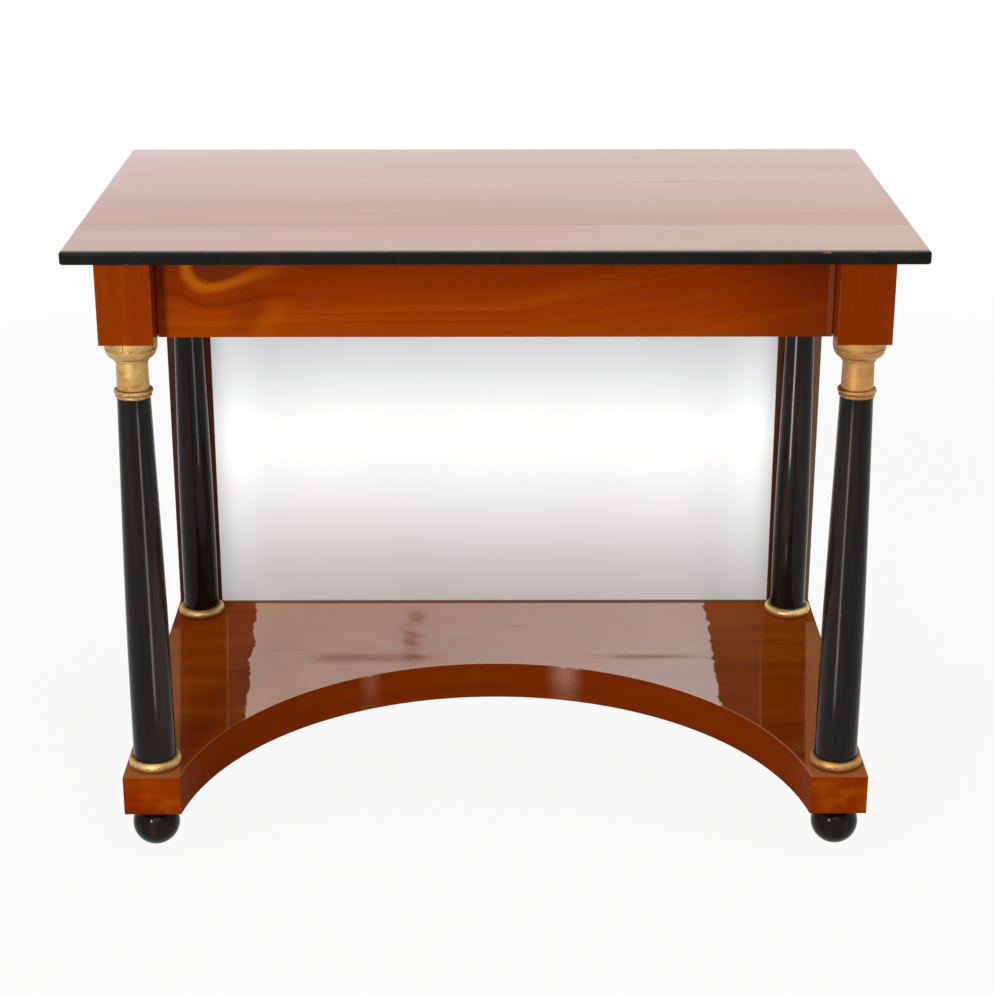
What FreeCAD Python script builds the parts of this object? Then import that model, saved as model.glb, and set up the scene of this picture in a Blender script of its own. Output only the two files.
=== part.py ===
import FreeCAD, Part
import math
import os

# A console table with a mirrored back, to stand against a wall between two windows.
# Millimetres, +Z up, front towards -Y, origin on the floor under the middle of the top.

# Top: a veneered board with an ebonised lipping on the front and both sides.
TOP_WIDTH = 1060.0
TOP_DEPTH = 612.0
TOP_THICK = 16.0
LIPPING_WIDTH = 10.0
LIPPING_ROUND = 3.0
TOP_CORNER_ROUND = 5.0

# Frieze: corner blocks over the columns, with the drawer front set back between them.
FRIEZE_HEIGHT = 105.0
SIDE_OVERHANG = 39.5
FRONT_OVERHANG = 12.0
BLOCK_WIDTH = 68.5
BLOCK_DEPTH = 76.0
FRIEZE_SETBACK = 38.0
SIDE_RAIL_SETBACK = 12.0
SIDE_RAIL_THICK = 22.0
BACK_RAIL_THICK = 22.0
DRAWER_RAIL_THICK = 16.0
DRAWER_RAIL_DEPTH = 50.0
RUNNER_BEARING = 30.0
GUIDE_HEIGHT = 24.0

# Drawer: its front is the whole frieze panel, pulled by the lower edge.
DRAWER_FRONT_THICK = 18.0
DRAWER_SIDE_THICK = 10.0
DRAWER_BACK_THICK = 10.0
DRAWER_BOTTOM_THICK = 6.0
DRAWER_BOTTOM_RAISE = 6.0
DRAWER_GROOVE_DEPTH = 4.0
DRAWER_SIDE_GAP = 1.0
DRAWER_TOP_GAP = 1.5
DRAWER_FLOOR_GAP = 0.5
DRAWER_RAIL_GAP = 0.5
STOP_LENGTH = 20.0
STOP_HEIGHT = 10.0
STOP_GAP = 0.3
STOP_SETBACK = 10.0

# Columns: a turned shaft, straight below and tapering above, pinned at both ends.
# The rear pair is slimmer, and stands a little nearer to the middle.
FRONT_GIRTH_SHARE = 1.0
REAR_GIRTH_SHARE = 0.935
REAR_INSET = 1.2
SHAFT_LENGTH = 518.0
SHAFT_FOOT_RADIUS = 28.2
SHAFT_NECK_RADIUS = 21.2
BEND_START_SHARE = 0.185
BEND_END_SHARE = 0.55
PIN_RADIUS = 10.0
PIN_DEPTH = 25.0
TENON_RADIUS = 11.0
TENON_DEPTH = 26.0

# Capital, from the top down: rim, groove, bowl, fillet, neck and two beads.
RIM_RADIUS = 33.5
RIM_HEIGHT = 11.0
GROOVE_DEPTH = 1.6
GROOVE_HEIGHT = 1.5
BOWL_RADIUS = 32.8
BOWL_FOOT_RADIUS = 21.4
BOWL_HEIGHT = 13.5
BOWL_SWELL_SHARE = 0.18
FILLET_RADIUS = 22.0
FILLET_HEIGHT = 3.0
NECK_RADIUS = 20.0
NECK_FOOT_RADIUS = 20.6
NECK_HEIGHT = 37.0
UPPER_BEAD_RADIUS = 24.8
UPPER_BEAD_HEIGHT = 6.0
LOWER_BEAD_RADIUS = 23.2
LOWER_BEAD_HEIGHT = 5.0

# Base ring of a column: flat below, round outside.
RING_RADIUS = 35.0
RING_HEIGHT = 14.5
RING_WALL = 2.8

# Mirror back: pilasters with a stepped rebate for the glass and its back board.
PILASTER_WIDTH = 65.3
PILASTER_MARGIN = 2.3
MIRROR_LIP = 4.0
GLASS_THICK = 4.0
GLASS_SLACK = 0.5
GLASS_REBATE = 9.0
BACK_BOARD_THICK = 5.0
BACK_BOARD_REBATE = 24.0
BACK_BOARD_RECESS = 0.5
EDGE_SLACK = 0.5
COLUMN_STANDOFF = 1.0

# Plinth: a platform with a round bay cut out of its front, on a frame with corner blocks.
PLINTH_MARGIN = 4.0
PLINTH_PANEL_THICK = 12.0
PLINTH_FRAME_HEIGHT = 42.0
PLINTH_RAIL_THICK = 22.0
PLINTH_BLOCK_DEPTH = 76.0
HORN_WIDTH = 75.5
BAY_DEPTH = 361.0
GLUE_BLOCK_LENGTH = 60.0
GLUE_BLOCK_SIDE = 20.0
BACK_GLUE_SHARES = (-0.5, 0.0, 0.5)
SIDE_GLUE_SHARES = (0.25, 0.75)

# Ball foot: turned with a small flat below, a neck above and a spigot.
FOOT_OUTSET = 3.0
BALL_RADIUS = 31.5
FOOT_FLAT_RADIUS = 9.0
FOOT_NECK_RADIUS = 15.0
FOOT_NECK_HEIGHT = 4.0
SPIGOT_RADIUS = 9.0
SPIGOT_LENGTH = 24.0

# Screws with flat-bottomed heads, in counterbored holes.
SCREW_RADIUS = 2.0
SCREW_LENGTH = 24.0
SCREW_HEAD_RADIUS = 4.0
SCREW_HEAD_HEIGHT = 2.5
PANEL_SCREW_RADIUS = 1.6
PANEL_SCREW_LENGTH = 8.0
PANEL_SCREW_HEAD_RADIUS = 3.2
PANEL_SCREW_HEAD_HEIGHT = 1.8
RAIL_SCREW_SHARES = (-0.8, 0.0, 0.8)
KICKER_SCREW_SHARES = (0.2, 0.8)
PANEL_SCREW_SHARES = (0.06, 0.35, 0.65, 0.94)

# Clearance of a pin in its hole, of a screw head in its counterbore, and the overrun of cuts.
FIT_CLEARANCE = 0.2
HEAD_SINK = 0.4
OVERRUN = 5.0
FULL_TURN = 360.0

# Heights, from the floor up.
BALL_CENTRE = math.sqrt(BALL_RADIUS ** 2 - FOOT_FLAT_RADIUS ** 2)
BALL_TOP = BALL_CENTRE + math.sqrt(BALL_RADIUS ** 2 - FOOT_NECK_RADIUS ** 2)
BEADS_HEIGHT = LOWER_BEAD_HEIGHT + UPPER_BEAD_HEIGHT
BOWL_TOP = BEADS_HEIGHT + NECK_HEIGHT + FILLET_HEIGHT + BOWL_HEIGHT
CAPITAL_HEIGHT = BOWL_TOP + GROOVE_HEIGHT + RIM_HEIGHT
Z_FRAME = BALL_TOP + FOOT_NECK_HEIGHT
Z_PANEL = Z_FRAME + PLINTH_FRAME_HEIGHT
Z_PLATFORM = Z_PANEL + PLINTH_PANEL_THICK
Z_CAPITAL = Z_PLATFORM + SHAFT_LENGTH
Z_FRIEZE = Z_CAPITAL + CAPITAL_HEIGHT
Z_TOP = Z_FRIEZE + FRIEZE_HEIGHT
Z_RUNNER = Z_FRIEZE + DRAWER_RAIL_THICK
Z_KICKER = Z_TOP - DRAWER_RAIL_THICK

# Places across the width, on the right-hand side.
X_BLOCK_OUT = TOP_WIDTH / 2 - SIDE_OVERHANG
X_BLOCK_IN = X_BLOCK_OUT - BLOCK_WIDTH
X_COLUMN = X_BLOCK_OUT - BLOCK_WIDTH / 2
X_COLUMN_REAR = X_COLUMN - REAR_INSET
X_FOOT = X_COLUMN + FOOT_OUTSET
X_SIDE_RAIL_OUT = X_BLOCK_OUT - SIDE_RAIL_SETBACK
X_SIDE_RAIL_IN = X_SIDE_RAIL_OUT - SIDE_RAIL_THICK
X_PILASTER_OUT = X_BLOCK_OUT + PILASTER_MARGIN
X_MIRROR = X_PILASTER_OUT - PILASTER_WIDTH
X_PLINTH = X_BLOCK_OUT + PLINTH_MARGIN
X_DRAWER = X_BLOCK_IN - DRAWER_SIDE_GAP
X_DRAWER_IN = X_DRAWER - DRAWER_SIDE_THICK
X_BEARING = X_BLOCK_IN - RUNNER_BEARING
X_PLINTH_REAR_BLOCK = X_COLUMN - PLINTH_BLOCK_DEPTH / 2

# Places from front to back.
Y_FRONT = -TOP_DEPTH / 2
Y_BACK = TOP_DEPTH / 2
Y_BLOCK = Y_FRONT + FRONT_OVERHANG
Y_BLOCK_BACK = Y_BLOCK + BLOCK_DEPTH
Y_COLUMN_FRONT = Y_BLOCK + BLOCK_DEPTH / 2
Y_FRIEZE = Y_BLOCK + FRIEZE_SETBACK
Y_DRAWER_BOX = Y_FRIEZE + DRAWER_FRONT_THICK
Y_RAIL = Y_DRAWER_BOX + DRAWER_RAIL_GAP
Y_RAIL_BACK = Y_RAIL + DRAWER_RAIL_DEPTH
Y_BOARD = Y_BACK - BACK_BOARD_RECESS - BACK_BOARD_THICK
Y_GLASS = Y_BOARD - GLASS_SLACK - GLASS_THICK
Y_PILASTER = Y_GLASS - MIRROR_LIP
Y_COLUMN_REAR = Y_PILASTER - COLUMN_STANDOFF - RING_RADIUS
Y_REAR_BLOCK = Y_COLUMN_REAR - BLOCK_DEPTH / 2
Y_STOP = Y_REAR_BLOCK - STOP_SETBACK - STOP_LENGTH
Y_DRAWER_BACK = Y_STOP - STOP_GAP
Y_PLINTH = Y_BLOCK - PLINTH_MARGIN
Y_PLINTH_BLOCK_BACK = Y_PLINTH + PLINTH_BLOCK_DEPTH
Y_PLINTH_REAR_BLOCK = Y_COLUMN_REAR - PLINTH_BLOCK_DEPTH / 2

# Round bay of the plinth: an arc through both horns and the deepest point of the bay.
BAY_HALF_CHORD = X_PLINTH - HORN_WIDTH
BAY_RADIUS = (BAY_HALF_CHORD ** 2 + BAY_DEPTH ** 2) / (2 * BAY_DEPTH)
Y_BAY_CENTRE = Y_PLINTH + BAY_DEPTH - BAY_RADIUS

ORIGIN = FreeCAD.Vector(0, 0, 0)
ACROSS = FreeCAD.Vector(1, 0, 0)
UPRIGHT = FreeCAD.Vector(0, 0, 1)
COLUMN_ROWS = (("front", X_COLUMN, Y_COLUMN_FRONT, FRONT_GIRTH_SHARE),
               ("rear", X_COLUMN_REAR, Y_COLUMN_REAR, REAR_GIRTH_SHARE))


def box(x0, x1, y0, y1, z0, z1):
    """Box between two values along each axis."""
    return Part.makeBox(x1 - x0, y1 - y0, z1 - z0, FreeCAD.Vector(x0, y0, z0))


def across(half_width, y0, y1, z0, z1):
    """Box that runs from side to side, centred on the table."""
    return box(-half_width, half_width, y0, y1, z0, z1)


def rod(radius, x, y, z0, z1):
    """Upright round rod."""
    return Part.makeCylinder(radius, z1 - z0, FreeCAD.Vector(x, y, z0))


def point(radius, height):
    """Point of a turned outline: radius from the axis and height along it."""
    return FreeCAD.Vector(radius, 0, height)


def run(*points):
    """Straight edges from point to point of a turned outline."""
    return [Part.LineSegment(a, b).toShape() for a, b in zip(points, points[1:])]


def arc(start, middle, end):
    """One arc edge of a turned outline, through three points."""
    return [Part.Arc(start, middle, end).toShape()]


def turned(edges):
    """Solid turned about the Z axis from a closed outline."""
    face = Part.Face(Part.Wire(edges))
    return face.revolve(ORIGIN, UPRIGHT, FULL_TURN)


def moved(shape, x, y, z):
    """Copy of a shape, moved to a place."""
    copy = shape.copy()
    copy.translate(FreeCAD.Vector(x, y, z))
    return copy


def write(name, shape):
    """One sub-part, as its own file."""
    shape.exportStep(f"parts/{name}.step")


def write_pair(name, right):
    """A right-hand sub-part and its mirror image on the left."""
    write(f"{name}_right", right)
    write(f"{name}_left", right.mirror(ORIGIN, ACROSS))


def top_slab():
    """The whole top with its rounded rim, before it is parted into board and lippings."""
    slab = across(TOP_WIDTH / 2, Y_FRONT, Y_BACK, Z_TOP, Z_TOP + TOP_THICK)
    corners = [
        edge for edge in slab.Edges
        if abs(edge.BoundBox.ZLength - TOP_THICK) < FIT_CLEARANCE and edge.BoundBox.YMax < 0
    ]
    slab = slab.makeFillet(TOP_CORNER_ROUND, corners)
    rims = [
        edge for edge in slab.Edges
        if edge.BoundBox.ZLength < FIT_CLEARANCE and edge.BoundBox.YMin < Y_BACK - FIT_CLEARANCE
    ]
    return slab.makeFillet(LIPPING_ROUND, rims)


def top_screw_places():
    """Where the screws pass up through the upper rail and the kickers."""
    rail_y = (Y_RAIL + Y_RAIL_BACK) / 2
    kicker_x = (X_BLOCK_IN + X_SIDE_RAIL_IN) / 2
    kicker_run = Y_REAR_BLOCK - Y_RAIL_BACK
    places = [(share * X_BLOCK_IN, rail_y) for share in RAIL_SCREW_SHARES]
    for share in KICKER_SCREW_SHARES:
        for side in (-1, 1):
            places.append((side * kicker_x, Y_RAIL_BACK + share * kicker_run))
    return places


def screw(radius, length, head_radius, head_height):
    """Upright screw, head down, with the seat of its head at height 0."""
    shank = rod(radius, 0, 0, 0, length)
    return shank.fuse(rod(head_radius, 0, 0, -head_height, 0))


def screw_hole(radius, length, head_radius, head_height):
    """Counterbored hole for such a screw, which runs out past its head."""
    return screw(radius + FIT_CLEARANCE, length + FIT_CLEARANCE, head_radius + FIT_CLEARANCE,
                 head_height + OVERRUN)


def top_screws(form):
    """All the screws that hold the top, or all their holes."""
    one = form(SCREW_RADIUS, SCREW_LENGTH, SCREW_HEAD_RADIUS, SCREW_HEAD_HEIGHT)
    seat = Z_KICKER + SCREW_HEAD_HEIGHT + HEAD_SINK
    return Part.makeCompound([moved(one, x, y, seat) for x, y in top_screw_places()])


def panel_screws(form):
    """All the screws of the back board, driven forwards into the pilasters, or all their holes."""
    one = form(PANEL_SCREW_RADIUS, PANEL_SCREW_LENGTH, PANEL_SCREW_HEAD_RADIUS, PANEL_SCREW_HEAD_HEIGHT)
    one.rotate(ORIGIN, ACROSS, FULL_TURN / 4)
    seat = Y_BOARD + BACK_BOARD_THICK - PANEL_SCREW_HEAD_HEIGHT - HEAD_SINK
    x = X_MIRROR + (GLASS_REBATE + BACK_BOARD_REBATE) / 2
    places = [
        (side * x, Z_PLATFORM + share * (Z_FRIEZE - Z_PLATFORM))
        for side in (-1, 1) for share in PANEL_SCREW_SHARES
    ]
    return Part.makeCompound([moved(one, px, seat, pz) for px, pz in places])


def make_top():
    """Board and lippings, all cut from one rounded slab."""
    slab = top_slab()
    inner = TOP_WIDTH / 2 - LIPPING_WIDTH
    y_lipping = Y_FRONT + LIPPING_WIDTH
    low = Z_TOP - OVERRUN
    high = Z_TOP + TOP_THICK + OVERRUN
    far = Y_BACK + OVERRUN
    wide = TOP_WIDTH / 2 + OVERRUN
    board = slab.common(across(inner, y_lipping, far, low, high))
    write("top_board", board.cut(top_screws(screw_hole)))
    write("top_lipping_front", slab.common(across(wide, Y_FRONT - OVERRUN, y_lipping, low, high)))
    write_pair("top_lipping", slab.common(box(inner, wide, y_lipping, far, low, high)))
    write("top_screws", top_screws(screw))


def pin_hole(x, y):
    """Hole in a frieze block for the pin at the head of a column."""
    depth = PIN_DEPTH + FIT_CLEARANCE
    return rod(PIN_RADIUS + FIT_CLEARANCE, x, y, Z_FRIEZE - OVERRUN, Z_FRIEZE + depth)


def mirror_space():
    """Stepped space behind the pilasters and the back rail for the glass and its board."""
    low = Z_PLATFORM - OVERRUN
    far = Y_BACK + OVERRUN
    glass = across(X_MIRROR + GLASS_REBATE, Y_GLASS, far, low, Z_FRIEZE + GLASS_REBATE)
    board_top = Z_FRIEZE + BACK_BOARD_REBATE
    board = across(X_MIRROR + BACK_BOARD_REBATE, Y_BOARD, far, low, board_top)
    return glass.fuse(board)


def make_frieze():
    """Corner blocks and rails of the frieze."""
    front = box(X_BLOCK_IN, X_BLOCK_OUT, Y_BLOCK, Y_BLOCK_BACK, Z_FRIEZE, Z_TOP)
    write_pair("frieze_block_front", front.cut(pin_hole(X_COLUMN, Y_COLUMN_FRONT)))
    rear = box(X_BLOCK_IN, X_BLOCK_OUT, Y_REAR_BLOCK, Y_BACK, Z_FRIEZE, Z_TOP)
    rear = rear.cut(pin_hole(X_COLUMN_REAR, Y_COLUMN_REAR))
    write_pair("frieze_block_rear", rear.cut(mirror_space()))
    side = box(X_SIDE_RAIL_IN, X_SIDE_RAIL_OUT, Y_BLOCK_BACK, Y_REAR_BLOCK, Z_FRIEZE, Z_TOP)
    write_pair("frieze_side_rail", side)
    back = across(X_BLOCK_IN, Y_BACK - BACK_RAIL_THICK, Y_BACK, Z_FRIEZE, Z_TOP)
    write("frieze_back_rail", back.cut(mirror_space()))


def make_drawer_guides():
    """Rails, runners, guides, kickers and stops that carry the drawer."""
    holes = top_screws(screw_hole)
    write("drawer_rail_lower", across(X_BLOCK_IN, Y_RAIL, Y_RAIL_BACK, Z_FRIEZE, Z_RUNNER))
    write("drawer_rail_upper", across(X_BLOCK_IN, Y_RAIL, Y_RAIL_BACK, Z_KICKER, Z_TOP).cut(holes))
    runner = box(X_BEARING, X_SIDE_RAIL_IN, Y_RAIL_BACK, Y_REAR_BLOCK, Z_FRIEZE, Z_RUNNER)
    write_pair("drawer_runner", runner)
    guide = box(X_BLOCK_IN, X_SIDE_RAIL_IN, Y_BLOCK_BACK, Y_REAR_BLOCK, Z_RUNNER, Z_RUNNER + GUIDE_HEIGHT)
    write_pair("drawer_guide", guide)
    kicker = box(X_BEARING, X_SIDE_RAIL_IN, Y_RAIL_BACK, Y_REAR_BLOCK, Z_KICKER, Z_TOP)
    write("drawer_kicker_right", kicker.cut(holes))
    write("drawer_kicker_left", kicker.mirror(ORIGIN, ACROSS).cut(holes))
    stop = box(X_BEARING, X_DRAWER_IN, Y_STOP, Y_STOP + STOP_LENGTH, Z_RUNNER, Z_RUNNER + STOP_HEIGHT)
    write("drawer_stops", Part.makeCompound([stop, stop.mirror(ORIGIN, ACROSS)]))


def make_drawer():
    """Drawer box with a bottom that lies in grooves of the front and the sides."""
    z_low = Z_RUNNER + DRAWER_FLOOR_GAP
    z_high = Z_KICKER - DRAWER_TOP_GAP
    z_bottom = z_low + DRAWER_BOTTOM_RAISE
    z_groove = z_bottom + DRAWER_BOTTOM_THICK + FIT_CLEARANCE
    x_groove = X_DRAWER_IN + DRAWER_GROOVE_DEPTH
    y_groove = Y_DRAWER_BOX - DRAWER_GROOVE_DEPTH
    groove = across(x_groove, y_groove, Y_DRAWER_BACK + OVERRUN, z_bottom, z_groove)
    front = across(X_DRAWER, Y_FRIEZE, Y_DRAWER_BOX, Z_FRIEZE, Z_TOP - DRAWER_TOP_GAP)
    write("drawer_front", front.cut(groove))
    side = box(X_DRAWER_IN, X_DRAWER, Y_DRAWER_BOX, Y_DRAWER_BACK, z_low, z_high)
    write_pair("drawer_side", side.cut(groove))
    z_floor = z_bottom + DRAWER_BOTTOM_THICK
    bottom = across(x_groove - FIT_CLEARANCE, y_groove + FIT_CLEARANCE, Y_DRAWER_BACK, z_bottom, z_floor)
    write("drawer_bottom", bottom)
    y_back = Y_DRAWER_BACK - DRAWER_BACK_THICK
    write("drawer_back", across(X_DRAWER_IN, y_back, Y_DRAWER_BACK, z_floor, z_high))


def column_shaft(girth_share):
    """Shaft on the axis, standing at height 0, with its tenon below and its pin above."""
    foot_radius = girth_share * SHAFT_FOOT_RADIUS
    neck_radius = girth_share * SHAFT_NECK_RADIUS
    start = BEND_START_SHARE * SHAFT_LENGTH
    end = BEND_END_SHARE * SHAFT_LENGTH
    middle = (start + end) / 2
    slope = (foot_radius - neck_radius) / (SHAFT_LENGTH - middle)
    drop = slope * (end - middle)
    bend_start = point(foot_radius, start)
    bend_middle = point(foot_radius - drop / 4, middle)
    bend_end = point(foot_radius - drop, end)
    pin_top = SHAFT_LENGTH + CAPITAL_HEIGHT + PIN_DEPTH
    edges = run(point(0, -TENON_DEPTH), point(TENON_RADIUS, -TENON_DEPTH), point(TENON_RADIUS, 0),
                point(foot_radius, 0), bend_start)
    edges += arc(bend_start, bend_middle, bend_end)
    edges += run(bend_end, point(neck_radius, SHAFT_LENGTH), point(PIN_RADIUS, SHAFT_LENGTH),
                 point(PIN_RADIUS, pin_top), point(0, pin_top), point(0, -TENON_DEPTH))
    return turned(edges)


def column_capital(girth_share):
    """Capital on the axis, standing at height 0, bored for the pin of the shaft."""
    def skin(radius, height):
        return point(girth_share * radius, height)
    bore = PIN_RADIUS + FIT_CLEARANCE
    fillet_foot = BEADS_HEIGHT + NECK_HEIGHT
    bowl_foot = skin(BOWL_FOOT_RADIUS, fillet_foot + FILLET_HEIGHT)
    bowl_rim = skin(BOWL_RADIUS, BOWL_TOP)
    chord = bowl_rim - bowl_foot
    swell = FreeCAD.Vector(chord.z, 0, -chord.x) * BOWL_SWELL_SHARE
    bowl_middle = (bowl_foot + bowl_rim) / 2 + swell
    groove = RIM_RADIUS - GROOVE_DEPTH
    rim_foot = BOWL_TOP + GROOVE_HEIGHT
    lower_foot = skin(SHAFT_NECK_RADIUS, 0)
    valley = skin(SHAFT_NECK_RADIUS, LOWER_BEAD_HEIGHT)
    neck_foot = skin(NECK_FOOT_RADIUS, BEADS_HEIGHT)
    edges = run(point(bore, 0), lower_foot)
    edges += arc(lower_foot, skin(LOWER_BEAD_RADIUS, LOWER_BEAD_HEIGHT / 2), valley)
    edges += arc(valley, skin(UPPER_BEAD_RADIUS, LOWER_BEAD_HEIGHT + UPPER_BEAD_HEIGHT / 2), neck_foot)
    edges += run(neck_foot, skin(NECK_RADIUS, fillet_foot), skin(FILLET_RADIUS, fillet_foot),
                 skin(FILLET_RADIUS, fillet_foot + FILLET_HEIGHT), bowl_foot)
    edges += arc(bowl_foot, bowl_middle, bowl_rim)
    edges += run(bowl_rim, skin(groove, BOWL_TOP), skin(groove, rim_foot), skin(RIM_RADIUS, rim_foot),
                 skin(RIM_RADIUS, CAPITAL_HEIGHT), point(bore, CAPITAL_HEIGHT), point(bore, 0))
    return turned(edges)


def column_ring(girth_share):
    """Base ring on the axis, standing at height 0 round the foot of the shaft."""
    bore = girth_share * SHAFT_FOOT_RADIUS + FIT_CLEARANCE
    foot = point(bore + RING_WALL, 0)
    head = point(bore + RING_WALL, RING_HEIGHT)
    edges = run(head, point(bore, RING_HEIGHT), point(bore, 0), foot)
    edges += arc(foot, point(RING_RADIUS, RING_HEIGHT / 2), head)
    return turned(edges)


def make_columns():
    """Four columns: the front pair and the pair before the pilasters."""
    for row, x, y, girth_share in COLUMN_ROWS:
        write_pair(f"column_shaft_{row}", moved(column_shaft(girth_share), x, y, Z_PLATFORM))
        write_pair(f"column_capital_{row}", moved(column_capital(girth_share), x, y, Z_CAPITAL))
        write_pair(f"column_base_ring_{row}", moved(column_ring(girth_share), x, y, Z_PLATFORM))


def make_mirror_back():
    """Pilasters, mirror glass, back board and its screws."""
    holes = panel_screws(screw_hole)
    pilaster = box(X_MIRROR, X_PILASTER_OUT, Y_PILASTER, Y_BACK, Z_PLATFORM, Z_FRIEZE)
    pilaster = pilaster.cut(mirror_space())
    write("pilaster_right", pilaster.cut(holes))
    write("pilaster_left", pilaster.mirror(ORIGIN, ACROSS).cut(holes))
    glass_x = X_MIRROR + GLASS_REBATE - EDGE_SLACK
    glass_z = Z_FRIEZE + GLASS_REBATE - EDGE_SLACK
    write("mirror_glass", across(glass_x, Y_GLASS, Y_GLASS + GLASS_THICK, Z_PLATFORM, glass_z))
    board_x = X_MIRROR + BACK_BOARD_REBATE - EDGE_SLACK
    board_z = Z_FRIEZE + BACK_BOARD_REBATE - EDGE_SLACK
    y_back = Y_BOARD + BACK_BOARD_THICK
    board = across(board_x, Y_BOARD, y_back, Z_PLATFORM, board_z)
    write("mirror_back_board", board.cut(holes))
    write("back_board_screws", panel_screws(screw))


def tenon_hole(x, y):
    """Hole for the tenon at the foot of a column, from the platform down."""
    low = Z_PLATFORM - TENON_DEPTH - FIT_CLEARANCE
    return rod(TENON_RADIUS + FIT_CLEARANCE, x, y, low, Z_PLATFORM + OVERRUN)


def spigot_hole(y):
    """Hole for the spigot of a foot, from the underside of the plinth up."""
    high = Z_FRAME + SPIGOT_LENGTH + FIT_CLEARANCE
    return rod(SPIGOT_RADIUS + FIT_CLEARANCE, X_FOOT, y, Z_FRAME - OVERRUN, high)


def make_plinth():
    """Platform, bowed front rail, side and back rails, and corner blocks."""
    bay = rod(BAY_RADIUS, 0, Y_BAY_CENTRE, Z_FRAME - OVERRUN, Z_PLATFORM + OVERRUN)
    panel = across(X_PLINTH, Y_PLINTH, Y_BACK, Z_PANEL, Z_PLATFORM).cut(bay)
    front_hole = tenon_hole(X_COLUMN, Y_COLUMN_FRONT)
    rear_hole = tenon_hole(X_COLUMN_REAR, Y_COLUMN_REAR)
    for hole in (front_hole, rear_hole):
        panel = panel.cut(hole).cut(hole.mirror(ORIGIN, ACROSS))
    write("plinth_platform", panel)
    bow = rod(BAY_RADIUS + PLINTH_RAIL_THICK, 0, Y_BAY_CENTRE, Z_FRAME, Z_PANEL).cut(bay)
    reach = BAY_RADIUS + PLINTH_RAIL_THICK + OVERRUN
    behind = across(reach, Y_PLINTH_BLOCK_BACK, Y_BAY_CENTRE + reach, Z_FRAME, Z_PANEL)
    write("plinth_front_rail", bow.common(behind))
    front = box(0, X_PLINTH, Y_PLINTH, Y_PLINTH_BLOCK_BACK, Z_FRAME, Z_PANEL).cut(bay)
    write_pair("plinth_block_front", front.cut(front_hole).cut(spigot_hole(Y_COLUMN_FRONT)))
    rear = box(X_PLINTH_REAR_BLOCK, X_PLINTH, Y_PLINTH_REAR_BLOCK, Y_BACK, Z_FRAME, Z_PANEL)
    write_pair("plinth_block_rear", rear.cut(rear_hole).cut(spigot_hole(Y_COLUMN_REAR)))
    x_side = X_PLINTH - PLINTH_RAIL_THICK
    side = box(x_side, X_PLINTH, Y_PLINTH_BLOCK_BACK, Y_PLINTH_REAR_BLOCK, Z_FRAME, Z_PANEL)
    write_pair("plinth_side_rail", side)
    y_back_rail = Y_BACK - PLINTH_RAIL_THICK
    write("plinth_back_rail", across(X_PLINTH_REAR_BLOCK, y_back_rail, Y_BACK, Z_FRAME, Z_PANEL))
    write("plinth_glue_blocks", glue_blocks(x_side, y_back_rail))


def glue_blocks(x_side, y_back_rail):
    """Square blocks rubbed into the angles between the platform and the rails."""
    reach = GLUE_BLOCK_LENGTH / 2
    low = Z_PANEL - GLUE_BLOCK_SIDE
    blocks = []
    for share in BACK_GLUE_SHARES:
        x = share * X_PLINTH_REAR_BLOCK
        blocks.append(box(x - reach, x + reach, y_back_rail - GLUE_BLOCK_SIDE, y_back_rail, low, Z_PANEL))
    for share in SIDE_GLUE_SHARES:
        y = Y_PLINTH_BLOCK_BACK + share * (Y_PLINTH_REAR_BLOCK - Y_PLINTH_BLOCK_BACK)
        block = box(x_side - GLUE_BLOCK_SIDE, x_side, y - reach, y + reach, low, Z_PANEL)
        blocks += [block, block.mirror(ORIGIN, ACROSS)]
    return Part.makeCompound(blocks)


def ball_foot():
    """Ball foot on the axis, standing on the floor."""
    flat = point(FOOT_FLAT_RADIUS, 0)
    neck = point(FOOT_NECK_RADIUS, BALL_TOP)
    spigot_top = Z_FRAME + SPIGOT_LENGTH
    edges = run(point(0, 0), flat)
    edges += arc(flat, point(BALL_RADIUS, BALL_CENTRE), neck)
    edges += run(neck, point(FOOT_NECK_RADIUS, Z_FRAME), point(SPIGOT_RADIUS, Z_FRAME),
                 point(SPIGOT_RADIUS, spigot_top), point(0, spigot_top), point(0, 0))
    return turned(edges)


def make_feet():
    """Four ball feet, one under each corner block."""
    foot = ball_foot()
    write_pair("ball_foot_front", moved(foot, X_FOOT, Y_COLUMN_FRONT, 0))
    write_pair("ball_foot_rear", moved(foot, X_FOOT, Y_COLUMN_REAR, 0))


os.makedirs("parts", exist_ok=True)
make_top()
make_frieze()
make_drawer_guides()
make_drawer()
make_columns()
make_mirror_back()
make_plinth()
make_feet()
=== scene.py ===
import math

import bpy
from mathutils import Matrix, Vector


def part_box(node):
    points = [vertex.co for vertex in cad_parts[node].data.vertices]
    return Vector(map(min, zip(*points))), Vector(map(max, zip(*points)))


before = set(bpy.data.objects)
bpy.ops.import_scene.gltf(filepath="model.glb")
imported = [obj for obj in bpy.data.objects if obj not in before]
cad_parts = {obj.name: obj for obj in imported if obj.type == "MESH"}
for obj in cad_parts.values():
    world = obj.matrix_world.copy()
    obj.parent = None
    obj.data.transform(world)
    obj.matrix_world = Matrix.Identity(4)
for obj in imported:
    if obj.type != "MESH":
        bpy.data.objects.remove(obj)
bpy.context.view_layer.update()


# Ball feet. Four turned hardwood balls, stained black and French polished to a high gloss.
# A spigot on top of each is glued up into the plinth.


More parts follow.
